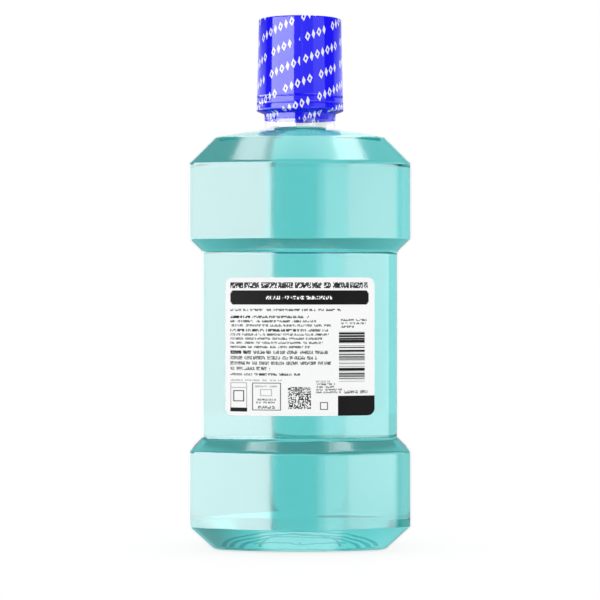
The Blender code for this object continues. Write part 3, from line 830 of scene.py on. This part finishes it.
def film_marks(across, up):
    """1 on the white marks: rows of open and slim lozenges in turn, which climb along the film."""
    run, rise = math.cos(ROW_SLOPE), math.sin(ROW_SLOPE)
    row_share = (up * run - across * rise) / ROW_PITCH + ROW_PHASE
    row = math.floor(row_share)
    off_row = (row_share - row - 0.5) * ROW_PITCH
    mark_share = (across * run + up * rise) / MARK_PITCH + row * (MARKS_A_GROUP / 2)
    mark = math.floor(mark_share)
    off_mark = (mark_share - mark - 0.5) * MARK_PITCH
    mark = mark % MARKS_A_GROUP
    aside = abs(off_mark - off_row * LEAN)
    ring = lozenge(aside, off_row, *LOZENGE) - lozenge(aside, off_row, *LOZENGE_OPENING)
    slim = lozenge(aside, off_row, *SLIM_LOZENGE)
    first_gap, second_gap = (abs(mark - gap) < 0.5 for gap in GAPS)
    return (mark % 2.0).blend(ring, slim) * (1.0 - first_gap.at_least(second_gap))


def printed_film(name, glow):
    """Glossy film, printed in blue with white marks. glow stands for the light that comes through it."""
    material, tree = new_material(name)
    film_map = add_node(tree, "UVMap", {}, uv_map="film")
    u, v, _ = map(Amount, add_node(tree, "SeparateXYZ", {0: film_map}).outputs)
    across = u * UV_TURN
    marks = film_marks(across, v * UV_HEIGHT)
    colour = add_node(tree, "Mix", {0: marks, 6: linear("#1c14ff"), 7: linear("#f6f6ff")}, data_type="RGBA")
    place = add_node(tree, "TexCoord", {}).outputs["Object"]
    crease = add_node(tree, "TexNoise", {"Vector": place, "Scale": CREASE_SCALE, "Detail": 3.0})
    relief = Amount(crease.outputs[0]) * CREASE_SHARE + (abs(across - SEAM_PLACE) < SEAM_WIDTH)
    bump = add_node(tree, "Bump", {"Strength": 0.25, "Distance": 0.06 * MM, "Height": relief})
    shader = add_node(tree, "BsdfPrincipled", {
        "Base Color": colour.outputs[2],
        "Roughness": 0.07,
        "IOR": 1.55,
        "Specular IOR Level": 0.8,
        "Emission Color": colour.outputs[2],
        "Emission Strength": glow,
        "Normal": bump,
    })
    add_node(tree, "OutputMaterial", {"Surface": shader})
    return material


PRINTED_FILM = printed_film("printed_shrink_film", 0.0)
# The film's inner side glows: painted light, for the light that comes through the film.
FILM_INSIDE = printed_film("shrink_film_inside", 0.6)
# The same film where it is bare: clear PET film
CLEAR_FILM = thin_clear("clear_shrink_film", "#fefefe", 0.1, 0.08, 0.3)

# The sleeve: up the cap's tapered side, round its edge and in over its top
top_radius = SKIRT_RADIUS - CAP_TAPER + FILM_OFFSET
edge_centre = (top_radius - FILM_EDGE_RADIUS, CAP_HEIGHT + FILM_OFFSET - FILM_EDGE_RADIUS)
edge = arc_points(edge_centre, FILM_EDGE_RADIUS, 0, math.pi / 2, FILM_EDGE_STEPS)
levels = np.concatenate((GROOVED_LEVELS, PLAIN_LEVELS))
dips = sum(GROOVE_DEPTH * np.exp(-(((levels - groove) / GROOVE_WIDTH) ** 2)) for groove in GROOVES)
sides = np.column_stack((SKIRT_RADIUS - CAP_TAPER * levels / CAP_HEIGHT + FILM_OFFSET, levels))
lip_radius = edge[-1, 0] - np.linspace(LIP_START, LIP_WIDTH, LIP_STEPS)
lip = np.column_stack((lip_radius, np.full(LIP_STEPS, edge[-1, 1])))
sleeve_profile = np.vstack((sides, edge, lip)) + (0, CAP_RIM)
dips = np.pad(dips, (0, len(sleeve_profile) - len(dips)))
sleeve = film_mesh("printed_cap_sleeve", sleeve_profile, dips, 0.0, LIP_GATHER, 0.0)
add_piece(sleeve, "cap_sleeve", "printed_film", (PRINTED_FILM, FILM_INSIDE), "cap_sleeve")

# The neck band: up the neck and out under the cap's rim
tuck_radius = SKIRT_RADIUS + FILM_OFFSET
inward, downward = np.array(TUCK[::-1]).T
tuck = np.column_stack((
    tuck_radius + (TAIL_RADIUS - tuck_radius) * inward,
    CAP_RIM - TUCK_GAP - TUCK_DEPTH * downward,
))
tail = np.column_stack((np.full(len(TAIL_LEVELS), TAIL_RADIUS), TAIL_LEVELS))
band_profile = np.vstack((tail, tuck))
band_length = np.linalg.norm(np.diff(band_profile, axis=0), axis=1).sum()
band = film_mesh("printed_neck_band", band_profile, 0.0, -band_length, 0.0, PRINT_FOOT)
add_piece(band, "neck_band", "printed_film", (PRINTED_FILM, FILM_INSIDE, CLEAR_FILM), "neck_band")


# Studio: a white floor that keeps the bottle's shadow, a white world, a backdrop that only shows through the
# liquid, and lamps that only show as reflections. Seen through the liquid, the floor and the backdrop carry
# painted shade and light. A smooth step is given as (start, end, low, high).
FLOOR_HALF_WIDTH = 6.0
FLOOR_DROP = 0.05 * MM
FLOOR_PALENESS = 0.8  # what it reflects onto the bottle
SHADOW_DEPTH = 0.12  # the share of the white floor that a shadow takes away
# How bright the floor looks through the liquid, by distance from the bottle's axis in metres, where a metre
# sideways counts as much as FLOOR_SIDE of a metre ahead. Its darker part near the bottle is a painted shadow.
FLOOR_SIDE = 0.2
FLOOR_LEVELS = (
    (0.0, 0.95), (0.09, 0.9), (0.0965, 0.86), (0.1, 0.75), (0.1035, 0.62), (0.106, 0.53), (0.13, 0.54),
    (0.17, 1.04),
)
# The bottle is a lens: what shows through its left and right half crosses over at FOCUS behind it. The
# floor's painted shades start past SHADES_START and go by the slope from the crossing, to the right and to the
# left.
FOCUS = 0.19
FOCUS_REACH = 0.01  # the least way past the crossing that the slope is measured over
SHADES_START = (0.12, 0.14, 0.0, 1.0)
FLOOR_RIGHT = (0.066, 0.084, 1.0, 0.57)
FLOOR_LEFT = (-0.12, -0.14, 1.0, 0.9)
# Straight beside the bottle the floor looks brighter through the liquid, a painted light, by the way ahead and
# the way aside
BESIDE_AHEAD = (0.015, 0.035, 0.35, 0.0)
BESIDE_ASIDE = (0.12, 0.18, 0.0, 1.0)
BACKDROP_RADIUS = 1.2
BACKDROP_HEIGHT = 0.54
BACKDROP_TURNS = 96
# How bright the backdrop looks through the liquid, by height in metres: a white sheet and a light strip on it
BACKDROP_LEVELS = ((0.26, 1.05), (0.275, 1.12), (0.32, 1.12), (0.34, 1.05))
# Shares of that level, by height, on the backdrop's part to the right of the bottle as seen from in front,
# and on two parts to its left, where they are painted shade
RIGHT_SHADES = ((0.26, 0.5), (0.275, 0.45), (0.32, 0.45), (0.34, 0.5), (0.4, 0.55), (0.43, 0.85))
LEFT_SHADES = ((0.26, 0.84), (0.275, 1.0), (0.32, 1.0), (0.34, 0.84), (0.4, 0.86), (0.43, 0.95))
# The slopes away from straight behind where the shades begin: the right one's start and width, by height, and
# the edges of the left ones
RIGHT_STARTS = ((0.26, 0.045), (0.275, 0.06), (0.325, 0.06), (0.335, 0.045))
RIGHT_WIDTHS = ((0.26, 0.045), (0.275, 0.2), (0.325, 0.2), (0.335, 0.045))
LEFT_EDGES = (-0.275, -0.25, -0.122, -0.1)
BEHIND_START = (0.0, 0.1, 0.0, 1.0)
NEAREST = 0.02  # the least way behind the bottle that the slope is measured over


def add_stage(name, points, faces):
    """A mesh that belongs to the studio."""
    mesh = bpy.data.meshes.new(name)
    mesh.from_pydata(points, [], faces)
    thing = bpy.data.objects.new(name, mesh)
    bpy.context.scene.collection.objects.link(thing)
    return thing


corners = np.array(((-1, -1, 0), (1, -1, 0), (1, 1, 0), (-1, 1, 0))) * FLOOR_HALF_WIDTH - (0, 0, FLOOR_DROP)
floor = add_stage("floor", corners.tolist(), [(0, 1, 2, 3)])
floor.visible_glossy = False
FLOOR_PAPER, tree = new_material("white_floor")
rays = add_node(tree, "LightPath", {}).outputs
plain = add_node(tree, "BsdfDiffuse", {"Color": (*[FLOOR_PALENESS] * 3, 1)})
shade = add_node(tree, "BsdfDiffuse", {"Color": (*[SHADOW_DEPTH] * 3, 1)})
glow = add_node(tree, "Emission", {"Color": linear("#ffffff"), "Strength": 1 - SHADOW_DEPTH})
seen = add_node(tree, "AddShader", {0: shade, 1: glow})
place = add_node(tree, "TexCoord", {}).outputs["Object"]
drawn_in = add_node(tree, "VectorMath", {0: place, 1: (FLOOR_SIDE, 1.0, 1.0)}, operation="MULTIPLY")
away = add_node(tree, "VectorMath", {0: drawn_in}, operation="LENGTH").outputs["Value"]
level = add_node(tree, "ValToRGB", {0: away}, stops=FLOOR_LEVELS)
x, y, _ = map(Amount, add_node(tree, "SeparateXYZ", {0: place}).outputs)
slope = x / (y - FOCUS).at_least(FOCUS_REACH)
shades = y.step(*SHADES_START).blend(1.0, slope.step(*FLOOR_RIGHT) * slope.step(*FLOOR_LEFT))
share = shades + abs(y).step(*BESIDE_AHEAD) * abs(x).step(*BESIDE_ASIDE)
through = add_node(tree, "Emission", {"Color": level, "Strength": share})
unseen = add_node(tree, "MixShader", {0: rays["Is Transmission Ray"], 1: plain, 2: through})
paper = add_node(tree, "MixShader", {0: rays["Is Camera Ray"], 1: unseen, 2: seen})
add_node(tree, "OutputMaterial", {"Surface": paper})
floor.data.materials.append(FLOOR_PAPER)

sheet_plan = arc_points((0, 0), BACKDROP_RADIUS, 0, 2 * math.pi, BACKDROP_TURNS)[:-1]
rings = [np.column_stack((sheet_plan, np.full(BACKDROP_TURNS, z))) for z in (0.0, BACKDROP_HEIGHT)]
backdrop = add_stage("backdrop", np.vstack(rings).tolist(), ring_quads(2, BACKDROP_TURNS).tolist())
backdrop.visible_camera = backdrop.visible_diffuse = backdrop.visible_glossy = backdrop.visible_shadow = False
BACKDROP_SHEET, tree = new_material("backdrop_sheet")
place = add_node(tree, "TexCoord", {}).outputs["Object"]
x, y, z = map(Amount, add_node(tree, "SeparateXYZ", {0: place}).outputs)
level, right_start, right_width, right_shade, left_shade = (
    add_node(tree, "ValToRGB", {0: z}, stops=stops)
    for stops in (BACKDROP_LEVELS, RIGHT_STARTS, RIGHT_WIDTHS, RIGHT_SHADES, LEFT_SHADES)
)
slope = x / y.at_least(NEAREST)
right = ((slope - right_start) / right_width).step(0.0, 1.0, 1.0, right_shade)
outer_left = slope.step(*LEFT_EDGES[:2], 1.0, left_shade)
inner_left = slope.step(*LEFT_EDGES[2:], left_shade, 1.0)
share = y.step(*BEHIND_START).blend(1.0, right * inner_left.at_least(outer_left))
sheet = add_node(tree, "Emission", {"Color": level, "Strength": share})
add_node(tree, "OutputMaterial", {"Surface": sheet})
backdrop.data.materials.append(BACKDROP_SHEET)

# What the bottle mirrors is a dim room. It is lighter behind it, above its shoulder but not beside that,
# and dimmer again where the dome mirrors it. A light ceiling is behind it, and a light table behind its foot.
ROOM_BEHIND = (0.2, 0.35, 0.08, 1.1)
ROOM_ABOVE = (0.065, 0.08, 0.25, 1.0)
ROOM_ABOVE_DOME = (0.1, 0.14, 1.0, 0.2)
CORNERS_ASIDE = (0.35, 0.45, 0.0, 1.0)
CORNERS_ABOVE = (0.3, 0.4, 0.0, 0.8)
CEILING_ABOVE = (0.2, 0.3, 0.0, 1.3)
CEILING_ASIDE = (0.3, 0.4, 1.0, 0.0)
CEILING_BEHIND = (0.35, 0.45, 0.0, 1.0)
TABLE_BELOW = (-0.93, -0.9, 1.0, 0.0)
TABLE_ASIDE = (0.17, 0.2, 1.0, 0.0)
TABLE_BEHIND = (0.06, 0.09, 0.0, 1.0)
THROUGH_ASIDE = (0.0, 0.4, 0.58, 0.86)  # what shows through the liquid above the backdrop
ROOM_LIGHT = 1.08  # what lights the matt surfaces

world = bpy.data.worlds.new("studio")
bpy.context.scene.world = world
world.use_nodes = True
tree = world.node_tree
tree.nodes.clear()
rays = add_node(tree, "LightPath", {}).outputs
way = add_node(tree, "TexCoord", {}).outputs["Generated"]
x, y, z = map(Amount, add_node(tree, "SeparateXYZ", {0: way}).outputs)
aside = abs(x)
room = z.step(*ROOM_ABOVE) - aside.step(*CORNERS_ASIDE) * z.step(*CORNERS_ABOVE)
room = room * z.step(*ROOM_ABOVE_DOME) * y.step(*ROOM_BEHIND)
ceiling = z.step(*CEILING_ABOVE) * aside.step(*CEILING_ASIDE) * y.step(*CEILING_BEHIND)
table = z.step(*TABLE_BELOW) * aside.step(*TABLE_ASIDE) * y.step(*TABLE_BEHIND)
mirrored = Amount(rays["Is Glossy Ray"]).blend(ROOM_LIGHT, room + ceiling + table)
unseen = Amount(rays["Is Transmission Ray"]).blend(mirrored, aside.step(*THROUGH_ASIDE))
strength = Amount(rays["Is Camera Ray"]).blend(unseen, 1.0)
background = add_node(tree, "Background", {"Color": linear("#ffffff"), "Strength": strength})
add_node(tree, "OutputWorld", {"Surface": background})

# Softboxes that stand round the bottle: azimuth of their left and right edge in degrees, from -Y towards +X,
# height of their lower and upper edge in metres, and how bright they look, where 1 is white
SOFTBOX_DISTANCE = 1.3
SOFTBOXES = (
    ("left_softbox", -82.0, -16.5, -0.7, 0.95, 4.0),
    ("left_edge_softbox", -140.0, -82.0, -0.7, 0.28, 3.8),
    ("front_glow", -17.0, 36.0, 0.3, 0.6, 0.28),
    ("right_strip_edge", 10.0, 14.0, -0.7, 0.28, 0.5),
    ("right_strip", 14.0, 27.5, -0.7, 0.28, 1.15),
    ("right_softbox", 27.5, 56.5, -0.1, 0.28, 2.05),
    ("right_edge_softbox", 60.0, 140.0, -0.7, 0.28, 0.5),
    ("right_softbox_foot", 27.5, 56.5, -0.4, -0.1, 1.4),
    ("high_right_softbox", 36.0, 70.0, 0.3, 0.95, 0.68),
)
# Panels that hang over it: left, right, near and far edge in metres, and how bright they look
PANEL_HEIGHT = 1.38
PANELS = (
    ("left_panel", -0.436, -0.24, 0.035, 0.3, 3.3),
    ("left_panel_near", -0.405, -0.24, -0.075, 0.035, 3.3),
    ("middle_panel", -0.24, 0.24, -0.05, 0.3, 1.5),
    ("right_panel", 0.24, 0.43, 0.035, 0.3, 3.8),
    ("right_panel_near", 0.24, 0.4, -0.075, 0.035, 3.3),
    ("near_left_panel", -0.31, -0.19, -0.42, -0.085, 1.4),
    ("near_right_panel", 0.22, 0.335, -0.42, -0.085, 1.4),
)

# The liquid mirrors no lamp, as the wall that it wets leaves its own surface next to no mirroring.
mirroring = bpy.data.collections.new("all_but_the_liquid")
mirroring.objects.link(mouthwash)
mirroring.collection_objects[0].light_linking.link_state = "EXCLUDE"


def add_lamp(name, place, rotation, width, height, level):
    """A rectangular lamp that is seen only in what mirrors it. Its power makes it look as bright as level."""
    lamp = bpy.data.lights.new(name, "AREA")
    lamp.shape = "RECTANGLE"
    lamp.size = width
    lamp.size_y = height
    lamp.energy = level * width * height * math.pi
    box = bpy.data.objects.new(name, lamp)
    bpy.context.scene.collection.objects.link(box)
    box.location = place
    box.rotation_euler = rotation
    box.visible_camera = box.visible_diffuse = box.visible_transmission = box.visible_volume_scatter = False
    box.light_linking.receiver_collection = mirroring


for name, left, right, foot, top, level in SOFTBOXES:
    turn = math.radians((left + right) / 2)
    half_turn = math.radians((right - left) / 2)
    distance = SOFTBOX_DISTANCE * math.cos(half_turn)
    width = 2 * SOFTBOX_DISTANCE * math.sin(half_turn)
    place = (distance * math.sin(turn), -distance * math.cos(turn), (foot + top) / 2)
    add_lamp(name, place, (math.pi / 2, 0, turn), width, top - foot, level)
for name, left, right, near_edge, far_edge, level in PANELS:
    place = ((left + right) / 2, (near_edge + far_edge) / 2, PANEL_HEIGHT)
    add_lamp(name, place, (0, 0, 0), right - left, far_edge - near_edge, level)

bpy.context.scene.view_settings.view_transform = "Standard"
